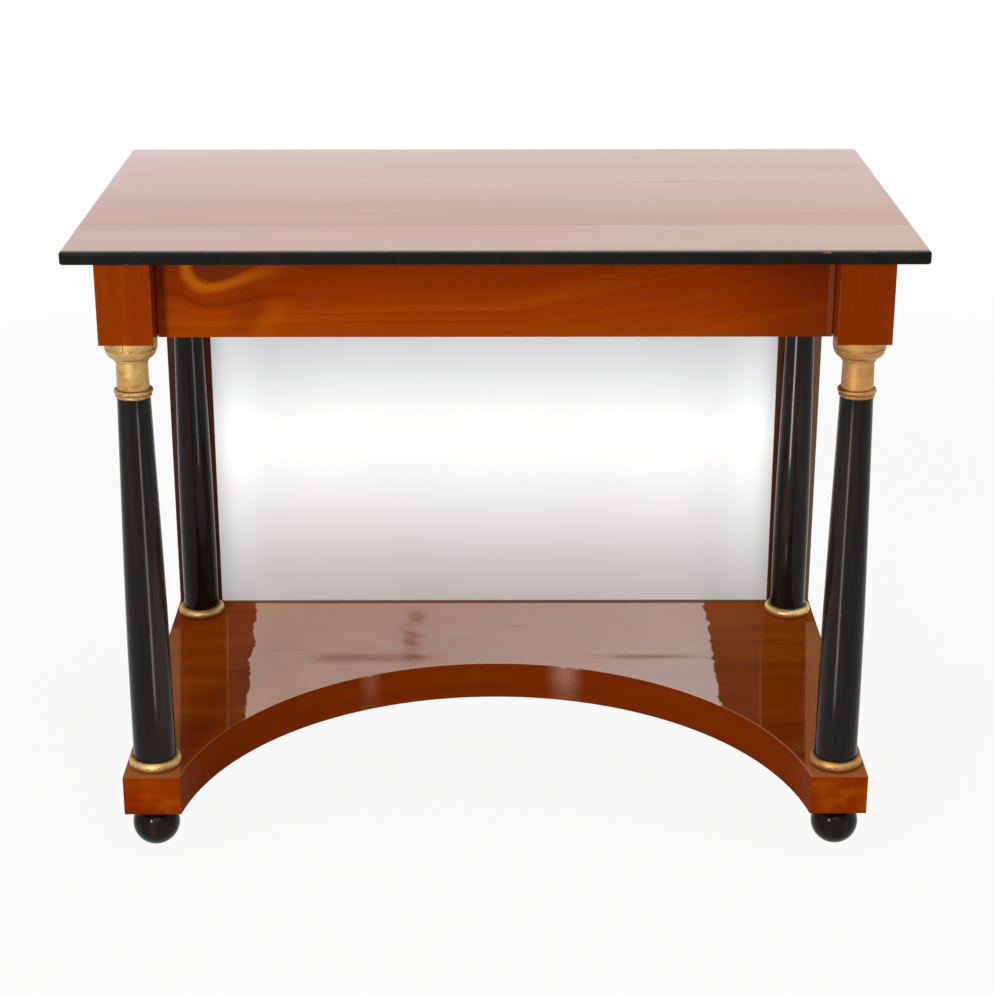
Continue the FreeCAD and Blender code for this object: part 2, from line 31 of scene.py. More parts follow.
class Shade:
    """A value, colour or place inside a finish. Sums of values become Math nodes."""

    def __init__(self, tree, socket=None):
        self.tree = tree
        self.socket = socket

    def node(self, kind, settings=None, sockets=None, output=0):
        """Adds a node: its settings first, then its sockets' values or links. Gives one output."""
        made = self.tree.nodes.new(kind)
        for name, value in (settings or {}).items():
            setattr(made, name, value)
        for name, value in (sockets or {}).items():
            if isinstance(value, Shade):
                self.tree.links.new(value.socket, made.inputs[name])
            else:
                made.inputs[name].default_value = value
        return Shade(self.tree, made.outputs[output] if len(made.outputs) else None)

    def sum(self, operation, *terms):
        """A Math node on these terms."""
        return self.node("ShaderNodeMath", {"operation": operation}, dict(enumerate(terms)))

    def __add__(self, other):
        return self.sum("ADD", self, other)

    def __radd__(self, other):
        return self.sum("ADD", other, self)

    def __sub__(self, other):
        return self.sum("SUBTRACT", self, other)

    def __rsub__(self, other):
        return self.sum("SUBTRACT", other, self)

    def __mul__(self, other):
        return self.sum("MULTIPLY", self, other)

    def __rmul__(self, other):
        return self.sum("MULTIPLY", other, self)

    def __truediv__(self, other):
        return self.sum("DIVIDE", self, other)

    def __pow__(self, other):
        return self.sum("POWER", self, other)

    def __abs__(self):
        return self.sum("ABSOLUTE", self)


def tint(red, green, blue):
    """A colour as it looks on a screen, each part from 0 to 255, turned into light by the sRGB curve."""
    def light(part):
        share = part / 255
        return share / 12.92 if share <= 0.04045 else ((share + 0.055) / 1.055) ** 2.4
    return (light(red), light(green), light(blue), 1.0)


def finish(name):
    """A new finish, and the place on the piece in metres, from which its figure grows."""
    material = bpy.data.materials.new(name)
    material.use_nodes = True
    material.node_tree.nodes.clear()
    return material, Shade(material.node_tree).node("ShaderNodeTexCoord", output="Object")


def polish(place, sockets, relief=None, depth=0.0):
    """One surface. Relief is its height from 0 to 1, and depth what 1 stands for in metres."""
    if relief is not None:
        dent = place.node("ShaderNodeBump", {}, {"Height": relief, "Distance": depth})
        sockets = dict(sockets, Normal=dent)
    return place.node("ShaderNodeBsdfPrincipled", {}, sockets)


def either(share, first, second):
    """The first surface where share is 0, the second where it is 1."""
    return share.node("ShaderNodeMixShader", {}, {0: share, 1: first, 2: second})


def lay(place, surface):
    """Puts a surface on the finish that the place belongs to."""
    place.node("ShaderNodeOutputMaterial", {}, {"Surface": surface})


def split(place):
    """The three measures of a place."""
    parts = place.node("ShaderNodeSeparateXYZ", {}, {0: place}).socket.node
    return [Shade(place.tree, socket) for socket in parts.outputs]


def joined(place, x, y, z):
    return place.node("ShaderNodeCombineXYZ", {}, {0: x, 1: y, 2: z})


def moved(place, step):
    return place.node("ShaderNodeVectorMath", {"operation": "ADD"}, {0: place, 1: step})


def stretched(place, factors):
    return place.node("ShaderNodeVectorMath", {"operation": "MULTIPLY"}, {0: place, 1: factors})


def cloud(place, counts, detail=3.0, rough=0.55, output=0):
    """Soft random patches, with so many of them to the metre along X, Y and Z."""
    sockets = {"Vector": stretched(place, counts), "Scale": 1.0, "Detail": detail, "Roughness": rough}
    return place.node("ShaderNodeTexNoise", {"noise_dimensions": "3D"}, sockets, output)


def even(count):
    """The same number along X, Y and Z."""
    return (count, count, count)


def lengthwise(along, run, across):
    """Patch counts for wood whose grain runs along one axis."""
    return tuple(run if axis == along else across for axis in "XYZ")


def ease(value, start, end):
    """0 before start, 1 after end, and a smooth rise between them."""
    sockets = {"Value": value, "From Min": start, "From Max": end}
    return value.node("ShaderNodeMapRange", {"interpolation_type": "SMOOTHSTEP"}, sockets)


def near(value, level, width):
    """1 at a level, and 0 further from it than width."""
    return ease(abs(value - level), width, 0.0)


def blend(share, first, second):
    """The first colour where share is 0, the second where it is 1."""
    return share.node("ShaderNodeMix", {"data_type": "RGBA"}, {0: share, 6: first, 7: second}, 2)


def dress(names, material):
    """Puts a finish on the pieces of these names."""
    for name in names:
        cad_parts[name].material_slots[0].material = material


def each(piece, ends):
    """The full names of like pieces, one for each end of their names."""
    return [f"{piece}_{end}" for end in ends]


CORNERS = ("front_left", "front_right", "rear_left", "rear_right")
SIDES = ("left", "right")
STAIN_BLACK = tint(17, 14, 12)
STAIN_THIN = tint(40, 28, 22)
STAIN_SPECK = tint(112, 100, 88)
STAIN_ROUGHNESS = 0.07
STAIN_RELIEF = 0.00003
FOOT_REFRACTION = 1.20
FOOT_DULLNESS = 0.03


def black_stain(place, along, refraction, dullness):
    """Black spirit stain under shellac: brown shows where it is thin, and dust dulls it in patches."""
    thin = ease(cloud(place, lengthwise(along, 4, 60), 4.0), 0.46, 0.78)
    dust = cloud(place, even(26), 5.0, 0.65)
    pores = cloud(place, lengthwise(along, 18, 700), 2.0)
    specks = ease(cloud(place, even(420), 1.0), 0.75, 0.82)
    stain = blend(thin, STAIN_BLACK, STAIN_THIN)
    stain = blend(specks * 0.25, stain, STAIN_SPECK)
    sockets = {"Base Color": stain, "Roughness": STAIN_ROUGHNESS + dullness * dust, "IOR": refraction}
    return polish(place, sockets, pores, STAIN_RELIEF)


def ebonised(name, along, refraction, dullness):
    """Black-stained hardwood, all over a piece."""
    material, place = finish("ebonised_" + name)
    lay(place, black_stain(place, along, refraction, dullness))
    return material


dress(each("ball_foot", CORNERS), ebonised("feet", "Z", FOOT_REFRACTION, FOOT_DULLNESS))


# Plinth frame. Corner blocks and rails of pine, faced with cherry veneer where they show.
# The front rail is sawn to the round bay, and its veneer is bent and glued round the curve.
CHERRY_SHADES = (tint(118, 36, 1), tint(154, 57, 2), tint(184, 86, 6))
CHERRY_CONTRAST = 2.4
CHERRY_REFRACTION = 1.08
CHERRY_RELIEF = 0.0001
CHERRY_WANDER = 0.014
CHERRY_RUBBED = tint(176, 92, 40)
RUBBED_WIDTH = 0.003
BARE_BACK_FROM = 0.0012
BARE_BACK_TO = 0.0006
PINE_EARLY = tint(198, 158, 108)
PINE_LATE = tint(160, 112, 66)
PINE_DUST = tint(126, 96, 66)
PINE_REFRACTION = 1.4
PINE_RELIEF = 0.00012
PINE_WANDER = 0.03
BAY_CENTRE_Y = -0.36066
BAY_RADIUS = 0.42366
BAY_SKIN_FROM = 0.0010
BAY_SKIN_TO = 0.0004
BAY_LEAF_START = 5.0
BAY_COLOUR = tint(138, 56, 4)
BLOTCH_START = (1.3, 0.0, 0.4)
BLOTCH_PALE = tint(188, 92, 8)
BLOTCH_DARK = tint(116, 36, 2)
# Painted highlights and glints on the bay are given by place along the curve, width and strength.
BAY_HIGHLIGHTS = ((0.104, 0.032, 1.0), (-0.188, 0.022, 0.35))
BAY_HIGHLIGHT_FOOT = 0.060
BAY_HIGHLIGHT_HEAD = 0.112
BAY_HIGHLIGHT_COLOUR = tint(204, 152, 130)
GLINTS = ((0.1015, 0.006, 1.0), (0.121, 0.008, 0.5), (-0.188, 0.006, 0.6))
GLINT_FOOT = 0.1125
GLINT_HEAD = 0.1145
GLINT_COLOUR = tint(240, 205, 188)
PLINTH_VENEER_DRIFT = 7.4
PLINTH_REFRACTION = 1.03
SIDE_TONE = 0.95
PLINTH_SIDE_DRIFTS = (11.0, 13.7)


def cherry_figure(place, along, drift):
    """Flat-sawn cherry: long wandering bands, fine lines, soft mottling and pores."""
    place = moved(place, (drift, 1.7 * drift, 0.6 * drift))
    wander = cloud(place, lengthwise(along, 1.6, 6.0), 2.0, output=1)
    bent = moved(place, stretched(wander, even(CHERRY_WANDER)))
    bands = cloud(bent, lengthwise(along, 0.9, 30.0), 4.0)
    lines = cloud(bent, lengthwise(along, 3.0, 210.0), 3.0)
    mottle = cloud(bent, lengthwise(along, 8.0, 30.0), 3.0)
    pores = cloud(place, lengthwise(along, 55.0, 1100.0), 1.0)
    return bands, lines, mottle, pores


def cherry_colour(figure, tone, contrast):
    """Heartwood red-brown, orange in the early wood, with fine dark pores."""
    bands, lines, mottle, pores = figure
    depth = 0.5 + contrast * (0.5 * bands + 0.25 * lines + 0.25 * mottle - 0.5)
    deep, heart, pale = [tuple(part * tone for part in shade[:3]) + (1.0,) for shade in CHERRY_SHADES]
    colour = blend(ease(depth, 0.0, 0.5), deep, heart)
    colour = blend(ease(depth, 0.5, 1.0), colour, pale)
    return blend(ease(pores, 0.6, 0.72) * 0.3, colour, deep)


def cherry_polish(place, colour, lines, refraction):
    """French polish on cherry: thin, a little hazy, and sunk into the grain."""
    haze = cloud(place, even(16), 4.0, 0.6)
    relief = 0.75 * cloud(place, even(18), 2.0) + 0.25 * lines
    sockets = {"Base Color": colour, "Roughness": 0.14 + 0.14 * haze, "IOR": refraction}
    return polish(place, sockets, relief, CHERRY_RELIEF)


def from_bay_centre(x, y):
    """The distance in metres from the upright line round which the bay is cut."""
    return x.sum("SQRT", x * x + (y - BAY_CENTRE_Y) ** 2.0)


def spots(along, marks):
    """Soft spots along a line, each given by its place, width and strength."""
    total = 0.0
    for level, width, strength in marks:
        total = total + strength * near(along, level, width)
    return total


def plinth_veneer(place):
    """Veneer of the plinth's front: blotchy on the blocks, and bent round the bay, with painted highlights
    and glints on its curve.
    """
    x, y, z = split(place)
    reach = from_bay_centre(x, y)
    along_bay = BAY_RADIUS * place.sum("ARCTAN2", x, y - BAY_CENTRE_Y)
    in_bay = ease(reach, BAY_RADIUS + BAY_SKIN_FROM, BAY_RADIUS + BAY_SKIN_TO)
    on_block = 1.0 - in_bay
    bent = joined(place, along_bay + BAY_LEAF_START, reach, z)
    route = place.node("ShaderNodeMix", {"data_type": "VECTOR"}, {0: in_bay, 4: place, 5: bent}, 1)
    figure = cherry_figure(route, "X", PLINTH_VENEER_DRIFT)
    colour = cherry_colour(figure, 1.0, CHERRY_CONTRAST)
    colour = blend(in_bay * 0.6, colour, BAY_COLOUR)
    blotch = cloud(moved(place, BLOTCH_START), (24, 24, 30), 2.0)
    colour = blend(on_block * ease(blotch, 0.50, 0.68) * 0.4, colour, BLOTCH_PALE)
    colour = blend(on_block * ease(blotch, 0.50, 0.34) * 0.3, colour, BLOTCH_DARK)
    # Painted highlights on the bay's curved face, and painted glints along its upper edge.
    bay_highlight = in_bay * spots(along_bay, BAY_HIGHLIGHTS) * (0.35 + 0.65 * ease(z, BAY_HIGHLIGHT_FOOT, BAY_HIGHLIGHT_HEAD))
    bay_highlight = bay_highlight * (0.55 + 0.45 * cloud(place, (40, 40, 160), 2.0))
    colour = blend(bay_highlight * 0.85, colour, BAY_HIGHLIGHT_COLOUR)
    glints = in_bay * spots(along_bay, GLINTS) * ease(z, GLINT_FOOT, GLINT_HEAD)
    colour = blend(glints * 0.8, colour, GLINT_COLOUR)
    return cherry_polish(route, colour, figure[1], PLINTH_REFRACTION)


def arris(place, name):
    """The distance in metres to the nearest edge of a square-cut piece."""
    reach = []
    for part, low, high in zip(split(place), *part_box(name)):
        reach.append((high - low) / 2 - abs(part - (high + low) / 2))
    least = place.sum("MINIMUM", reach[0], reach[1])
    most = place.sum("MAXIMUM", reach[0], reach[1])
    return place.sum("MAXIMUM", least, place.sum("MINIMUM", most, reach[2]))


def pine(place, along, drift):
    """Aged pine: hard brown late-wood lines on pale early wood, dusty and unpolished."""
    drawn = moved(place, even(drift))
    wander = cloud(drawn, lengthwise(along, 1.5, 7.0), 2.0, output=1)
    bent = moved(drawn, stretched(wander, even(PINE_WANDER)))
    rings = cloud(bent, lengthwise(along, 1.2, 130.0), 2.0)
    fibre = cloud(drawn, lengthwise(along, 30.0, 900.0), 2.0)
    dust = cloud(drawn, even(9), 4.0, 0.6)
    colour = blend(ease(rings, 0.40, 0.68), PINE_EARLY, PINE_LATE)
    colour = blend(ease(dust, 0.4, 0.75) * 0.4, colour, PINE_DUST)
    sockets = {"Base Color": colour, "Roughness": 0.62 + 0.2 * fibre, "IOR": PINE_REFRACTION}
    return polish(place, sockets, 0.6 * rings + 0.4 * fibre, PINE_RELIEF)


def cherry(name, along, tone, drift, contrast=CHERRY_CONTRAST):
    """Polished cherry veneer on a square-cut piece, rubbed at its arrises. Rear pieces are bare behind."""
    material, place = finish("cherry_" + name)
    figure = cherry_figure(place, along, drift)
    colour = cherry_colour(figure, tone, contrast)
    rubbed = ease(arris(place, name), RUBBED_WIDTH, 0.0) * ease(cloud(place, even(60), 4.0), 0.35, 0.7)
    colour = blend(rubbed * 0.35, colour, CHERRY_RUBBED)
    veneer = cherry_polish(place, colour, figure[1], CHERRY_REFRACTION)
    if "rear" in name:
        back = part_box(name)[1][1]
        bare = ease(split(place)[1], back - BARE_BACK_FROM, back - BARE_BACK_TO)
        veneer = either(bare, veneer, pine(place, along, drift))
    lay(place, veneer)
    dress([name], material)


bowed, place = finish("cherry_plinth_front")
lay(place, plinth_veneer(place))
dress(["plinth_front_rail"] + each("plinth_block_front", SIDES), bowed)
for side, drift in zip(SIDES, PLINTH_SIDE_DRIFTS):
    cherry("plinth_side_rail_" + side, "Y", SIDE_TONE, drift)
    cherry("plinth_block_rear_" + side, "Y", SIDE_TONE, drift)


# Hidden softwood of the plinth: the back rail, and glue blocks rubbed in behind the rails.
# Plain sawn pine, left raw and darkened with age and dust.


def softwood(name, along, drift):
    """Bare pine, all over a piece. Drift picks the part of the log that it comes from."""
    material, place = finish("pine_" + name)
    lay(place, pine(place, along, drift))
    return material


dress(["plinth_back_rail"], softwood("back_rails", "X", 3.0))
dress(["plinth_glue_blocks"], softwood("glue_blocks", "Y", 6.0))


# Platform of the plinth: a pine panel laid with three leaves of cherry, side to side.
# It carries the columns. Its edges are veneered in one with the plinth's front, and its polish is thick.
PLATFORM_JOINTS = (-0.128, 0.084)
PLATFORM_TOP = 0.115886
PLATFORM_SKIN_FROM = 0.0003
PLATFORM_SKIN_TO = 0.0001
PLATFORM_BARE_FROM = 0.0006
PLATFORM_BARE_TO = 0.0003
PLATFORM_RELIEF = 0.0002
PLATFORM_DRIFT = 4.6
PLATFORM_TONE = 1.32
PLATFORM_CONTRAST = 2.0
NEAR_BACK_Y = 0.29
LEAF_STEP = (2.3, 0.4)
JOINT_EDGE = 0.0002
JOINT_WIDTH = 0.0012
JOINT_DIRT = tint(60, 22, 8)
# Painted reflected light lines run forwards from near the back: where each one starts, how it leans, and
# its width.
REFLECTED_LINES = ((-0.4191, 0.109, 0.0026), (0.4177, -0.113, 0.0032))
REFLECTED_LINE_COLOUR = tint(210, 140, 86)
NOSING_HIGHLIGHT_FROM = 0.0045
NOSING_HIGHLIGHT_TO = 0.001
NOSING_HIGHLIGHT_COLOUR = tint(206, 150, 118)


def cherry_leaves(place, joints, drift, tone, contrast):
    """Colour of a panel laid with leaves from several flitches, the leaf's number, and the joint lines."""
    x, y, z = split(place)
    number, line = 0.0, 0.0
    for joint in joints:
        number = number + ease(y, joint - JOINT_EDGE, joint + JOINT_EDGE)
        line = line + near(y, joint, JOINT_WIDTH)
    laid = joined(place, x + LEAF_STEP[0] * number, y + LEAF_STEP[1] * number, z)
    return cherry_colour(cherry_figure(laid, "X", drift), tone, contrast), number, line


platform, place = finish("cherry_platform")
x, y, z = split(place)
depth = NEAR_BACK_Y - y
haze = cloud(place, (12, 20, 20), 4.0)
colour, _, line = cherry_leaves(place, PLATFORM_JOINTS, PLATFORM_DRIFT, PLATFORM_TONE, PLATFORM_CONTRAST)
open_joint = line * ease(cloud(place, even(7), 2.0), 0.4, 0.55)
colour = blend(open_joint * 0.8, colour, JOINT_DIRT)
ripple = cloud(place, (7, 22, 22), 2.0) + 0.35 * cloud(place, (16, 55, 55), 2.0) - 0.6 * open_joint
# Painted reflections: two thin pale lines on the platform.
reflected_line = place.sum("MAXIMUM", *[near(x, start + lean * depth, width) for start, lean, width in REFLECTED_LINES])
colour = blend(reflected_line * ease(y, 0.262, 0.225) * 0.75, colour, REFLECTED_LINE_COLOUR)
# A painted highlight along the nosing of the bay, brighter to the right.
nosing_highlight = ease(from_bay_centre(x, y), BAY_RADIUS + NOSING_HIGHLIGHT_FROM, BAY_RADIUS + NOSING_HIGHLIGHT_TO)
nosing_highlight = nosing_highlight * (0.25 + 0.75 * ease(x, 0.10, 0.26))
colour = blend(nosing_highlight * 0.6, colour, NOSING_HIGHLIGHT_COLOUR)

# Both ends of the platform, where the polish is thin and the colour golden.
GOLDEN = tint(134, 68, 6)
GOLDEN_REAR = tint(166, 84, 6)
GOLDEN_FRONT = tint(94, 28, 2)
GOLDEN_DARK = tint(104, 34, 2)
GOLDEN_PALE = tint(160, 90, 8)
GOLDEN_REFRACTION = 1.045
REFLECTED_STRIP_LEFT_X = -0.4930
REFLECTED_STRIP_LEFT_LEAN = 0.129
REFLECTED_STRIP_RIGHT_X = 0.4889
REFLECTED_STRIP_RIGHT_LEAN = -0.1345
REFLECTED_STRIP_COLOUR = tint(196, 124, 74)
PALE_JOINT_WIDTH = 0.0020
PALE_JOINT_COLOUR = tint(176, 100, 52)
GOLDEN_NOSING_HIGHLIGHT = tint(214, 142, 98)

golden = blend(0.4 + 0.2 * haze, colour, GOLDEN)
golden = blend(ease(x, 0.28, 0.34) * ease(y, -0.08, 0.20) * 0.8, golden, GOLDEN_REAR)
golden = blend(ease(y, -0.09, -0.16) * 0.3, golden, GOLDEN_FRONT)
clouded = cloud(moved(place, (6.0, 2.0, 0.0)), (4, 26, 4), 3.0)
golden = blend(ease(clouded, 0.48, 0.68) * 0.26, golden, GOLDEN_DARK)
golden = blend(ease(clouded, 0.50, 0.32) * 0.36, golden, GOLDEN_PALE)
# Painted reflections: pale strips along both outer edges of the platform, leaning with the depth.
reflected_strip_left = ease(x - REFLECTED_STRIP_LEFT_X - REFLECTED_STRIP_LEFT_LEAN * depth, 0.002, -0.003) * ease(y, 0.205, 0.185)
reflected_strip_right = ease(x - REFLECTED_STRIP_RIGHT_X - REFLECTED_STRIP_RIGHT_LEAN * depth, -0.002, 0.003) * ease(y, 0.225, 0.205)
golden = blend((0.55 * reflected_strip_left + 0.7 * reflected_strip_right) * (0.8 + 0.4 * haze), golden, REFLECTED_STRIP_COLOUR)
pale_joint = near(y, PLATFORM_JOINTS[0], PALE_JOINT_WIDTH) * ease(x, 0.37, 0.40)
golden = blend(pale_joint * 0.5, golden, PALE_JOINT_COLOUR)
golden = blend(nosing_highlight * 0.55, golden, GOLDEN_NOSING_HIGHLIGHT)
sockets = {"Base Color": golden, "Roughness": 0.10 + 0.10 * haze, "IOR": GOLDEN_REFRACTION}
worn = polish(place, sockets, ripple, PLATFORM_RELIEF)

# The broad middle, where the polish lies deep and shines, with a pale painted reflection in its colour.
# Its ends are ragged, a painted dark reflection of an upright runs across it, and it is marked with age.
REFLECTION_PALE = tint(192, 120, 50)
REFLECTION_PALE_LEFT = tint(206, 132, 58)
BRIGHT_FROM = -0.3712
BRIGHT_FROM_LEAN = 0.048
BRIGHT_TO = 0.3305
BRIGHT_TO_LEAN = 0.035
BRIGHT_RIM = 0.0015
REFLECTED_UPRIGHT_X = -0.126
REFLECTED_UPRIGHT_WIDTH = 0.024
SCAR_Y = PLATFORM_JOINTS[1] + 0.003
SCAR_WIDTH = 0.014
SCAR_X = 0.225
SCAR_REACH = 0.120
GRAZE_Y = PLATFORM_JOINTS[1] + 0.002
GRAZE_WIDTH = 0.030
NICK_X = 0.035
NICK_REACH = 0.024
NICK_Y = 0.200
NICK_WIDTH = 0.006

# Painted reflection: the colour is paler in the middle of the platform, palest to the left.
reflection_pale = blend(0.45 + 0.2 * haze, colour, REFLECTION_PALE)
reflection_pale = blend(ease(x, -0.10, -0.36) * 0.5, reflection_pale, REFLECTION_PALE_LEFT)
gleam = 0.24 + 0.72 * ease(x, -0.40, 0.26)
deep = polish(place, {
    "Base Color": reflection_pale, "Roughness": 0.05 + 0.06 * haze, "IOR": 1.45,
    "Coat Weight": gleam, "Coat Roughness": 0.03, "Coat IOR": 1.5,
}, ripple, PLATFORM_RELIEF)
ragged = 0.020 * (cloud(place, (3, 34, 3), 2.0) - 0.5) + 0.006 * (cloud(place, (4, 160, 4), 1.0) - 0.5)
bright = ease(x - BRIGHT_FROM - BRIGHT_FROM_LEAN * depth + ragged, -BRIGHT_RIM, BRIGHT_RIM)
bright = bright * ease(BRIGHT_TO - BRIGHT_TO_LEAN * depth - x + ragged, -BRIGHT_RIM, BRIGHT_RIM)
blobs = ease(cloud(place, (5, 75, 5), 2.0), 0.40, 0.56)
# A painted dark reflection of an upright, breaking the pale reflection.
reflected_upright = near(x + 2.2 * ragged, REFLECTED_UPRIGHT_X, REFLECTED_UPRIGHT_WIDTH) * (0.35 + 0.65 * blobs)
reflected_upright = reflected_upright * ease(y, 0.045, 0.085) * ease(y, 0.275, 0.245)
scar = near(y + 0.25 * ragged, SCAR_Y, SCAR_WIDTH) * near(x, SCAR_X, SCAR_REACH)
scar = scar * ease(cloud(place, (6, 40, 6), 2.0), 0.37, 0.49)
graze = near(y + 1.2 * ragged, GRAZE_Y, GRAZE_WIDTH) * ease(x, -0.29, -0.24) * ease(x, -0.05, -0.12)
graze = graze * ease(cloud(place, (6, 90, 6), 2.0), 0.34, 0.52)
nick = near(y, NICK_Y, NICK_WIDTH) * near(x, NICK_X, NICK_REACH)
scratches = ease(cloud(place, (8, 130, 8), 1.0), 0.70, 0.75)
for mark, strength in ((reflected_upright, 0.55), (scar, 0.55), (graze, 0.45), (nick, 0.4), (scratches, 0.3)):
    bright = bright * (1.0 - strength * mark)

platform_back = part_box("plinth_platform")[1][1]
behind = ease(y, platform_back - PLATFORM_BARE_FROM, platform_back - PLATFORM_BARE_TO)
edge = either(behind, plinth_veneer(place), pine(place, "X", 2.0))
upper = ease(z, PLATFORM_TOP - PLATFORM_SKIN_FROM, PLATFORM_TOP - PLATFORM_SKIN_TO)
lay(place, either(upper, edge, either(bright, worn, deep)))
dress(["plinth_platform"], platform)


# Column rings, shafts and capitals. Rings and capitals are turned, coated with gesso and gilded.
# The shafts are turned with a taper, ebonised and polished, and pinned at both ends.
LEAF_LEFT_LIT = tint(210, 175, 113)
LEAF_RIGHT_SHADED = tint(196, 147, 89)
LEAF_DULL = tint(168, 122, 68)
LEAF_REAR_RIGHT_LIT = tint(246, 206, 146)
RED_CLAY = tint(146, 84, 44)
HOLLOW_DIRT = tint(82, 54, 26)
GILDING_REFRACTION = 1.45
GILDING_RELIEF = 0.00009
CRACK_X = -0.4612
CRACK_WIDTH = 0.0007
CRACK_COLOUR = tint(58, 36, 18)
# Hollows are given by height, width and darkness, and rubbed edges by height and width.
RING_HOLLOWS = ((0.1160, 0.0018, 0.8), (0.1303, 0.0012, 0.7))
RING_RUBS = ((0.1240, 0.0030),)
CAPITAL_FOOT = 0.633886
CAPITAL_HOLLOWS = tuple(
    (CAPITAL_FOOT + height, width, darkness)
    for height, width, darkness in (
        (0.0050, 0.0009, 0.6), (0.0112, 0.0012, 0.8), (0.0480, 0.0010, 0.7), (0.0512, 0.0010, 0.4),
    )
)
CAPITAL_RUBS = tuple((CAPITAL_FOOT + height, 0.0018) for height in (0.0080, 0.0025, 0.0495, 0.0670))
SHAFT_REFRACTION = 1.24
SHAFT_DULLNESS = 0.14


def gilded(name, hollows, rubs, crack=False):
    """Leaf on gesso: bright where burnished, red clay where rubbed, dirt in the hollows."""
    material, place = finish("gilded_" + name)
    x, y, z = split(place)
    patches = cloud(place, (42, 42, 60), 4.0, 0.6)
    flecks = cloud(place, (260, 260, 320), 3.0, 0.6)
    brushing = cloud(place, (90, 90, 900), 2.0)
    dirt = ease(flecks, 0.62, 0.76) * 0.4
    for level, width, darkness in hollows:
        dirt = place.sum("MAXIMUM", dirt, near(z, level, width) * ease(patches, 0.25, 0.65) * darkness)
    worn = 0.35 * ease(patches, 0.58, 0.8)
    for level, width in rubs:
        worn = place.sum("MAXIMUM", worn, near(z, level, width) * ease(flecks, 0.42, 0.62) * 0.8)
    # Painted light and shade: the leaf is lighter on the left-hand columns, darker on the right, and
    # lighter again at the rear right.
    colour = blend(ease(x, -0.02, 0.02), LEAF_LEFT_LIT, LEAF_RIGHT_SHADED)
    colour = blend(ease(patches, 0.3, 0.75) * 0.8, colour, LEAF_DULL)
    colour = blend(ease(x, 0.40, 0.42) * ease(y, 0.20, 0.22) * 0.7, colour, LEAF_REAR_RIGHT_LIT)
    colour = blend(worn, colour, RED_CLAY)
    colour = blend(dirt, colour, HOLLOW_DIRT)
    if crack:
        slit = near(x, CRACK_X, CRACK_WIDTH) * ease(z, 0.698, 0.7) * ease(y, -0.27, -0.275)
        colour = blend(slit, colour, CRACK_COLOUR)
        brushing = brushing - 2.0 * slit
    sockets = {
        "Base Color": colour, "Metallic": 1.0 - 0.75 * place.sum("MAXIMUM", worn, dirt),
        "Roughness": 0.38 + 0.16 * patches + 0.25 * dirt, "IOR": GILDING_REFRACTION,
    }
    lay(place, polish(place, sockets, 0.5 * brushing + 0.5 * flecks, GILDING_RELIEF))
    return material


dress(each("column_base_ring", CORNERS), gilded("rings", RING_HOLLOWS, RING_RUBS))
dress(each("column_capital", CORNERS), gilded("capitals", CAPITAL_HOLLOWS, CAPITAL_RUBS, True))
dress(each("column_shaft", CORNERS), ebonised("shafts", "Z", SHAFT_REFRACTION, SHAFT_DULLNESS))


# Mirror back. Flat cherry pilasters stand behind the rear columns and hold the glass in a rebate.
# The old plate is silvered and a little hazy, and a pine board screwed on behind keeps out dust.
ARRIS_WIDTH = 0.0006
PILASTER_DRIFTS = (21.0, 24.1)
PILASTER_DARK = tint(60, 33, 25)
PILASTER_PALE = tint(86, 46, 31)
PILASTER_HEAD = tint(110, 62, 48)
PILASTER_LEFT_INNER_LIGHT = tint(128, 72, 52)
PILASTER_RIGHT_INNER_LIGHT = tint(124, 68, 44)
PILASTER_OUTER_REFLECTION = tint(186, 142, 104)
PILASTER_REFRACTION = 1.22
SILVER_ENDS = tint(255, 255, 255)
SILVER_SIDES = tint(240, 240, 240)
SILVER_MIDDLE = tint(231, 231, 231)
# Painted shade on the silver, as the share of its colour left: in the upper corners, by the ends, at the
# foot and at the head.
CORNER_LIGHT = even(0.91)
END_LIGHT = even(0.95)
FOOT_LIGHT = (0.605, 0.640, 0.655)
HEAD_LIGHT = (0.59, 0.60, 0.61)
SEAT_SHADOW_LEVEL = 0.1192
SEAT_SHADOW_FULL = 0.1180
SEAT_SHADOW_COLOUR = tint(92, 70, 58)
IRON_GREY = tint(150, 148, 144)
IRON_RUST = tint(96, 62, 42)
IRON_RELIEF = 0.00004


def eased(names, width):
    """The saw-sharp arrises rubbed round with sandpaper, as a polisher leaves them."""
    for name in names:
        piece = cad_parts[name]
        seam = piece.modifiers.new("closed_seams", "WELD")
        seam.merge_threshold = 0.00001
        plain = piece.modifiers.new("whole_faces", "DECIMATE")
        plain.decimate_type = "DISSOLVE"
        plain.angle_limit = math.radians(0.5)
        round_over = piece.modifiers.new("eased_arris", "BEVEL")
        round_over.width = width
        round_over.segments = 3
        round_over.limit_method = "ANGLE"
        round_over.angle_limit = math.radians(40)
        shading = piece.modifiers.new("even_shading", "WEIGHTED_NORMAL")
        shading.weight = 60


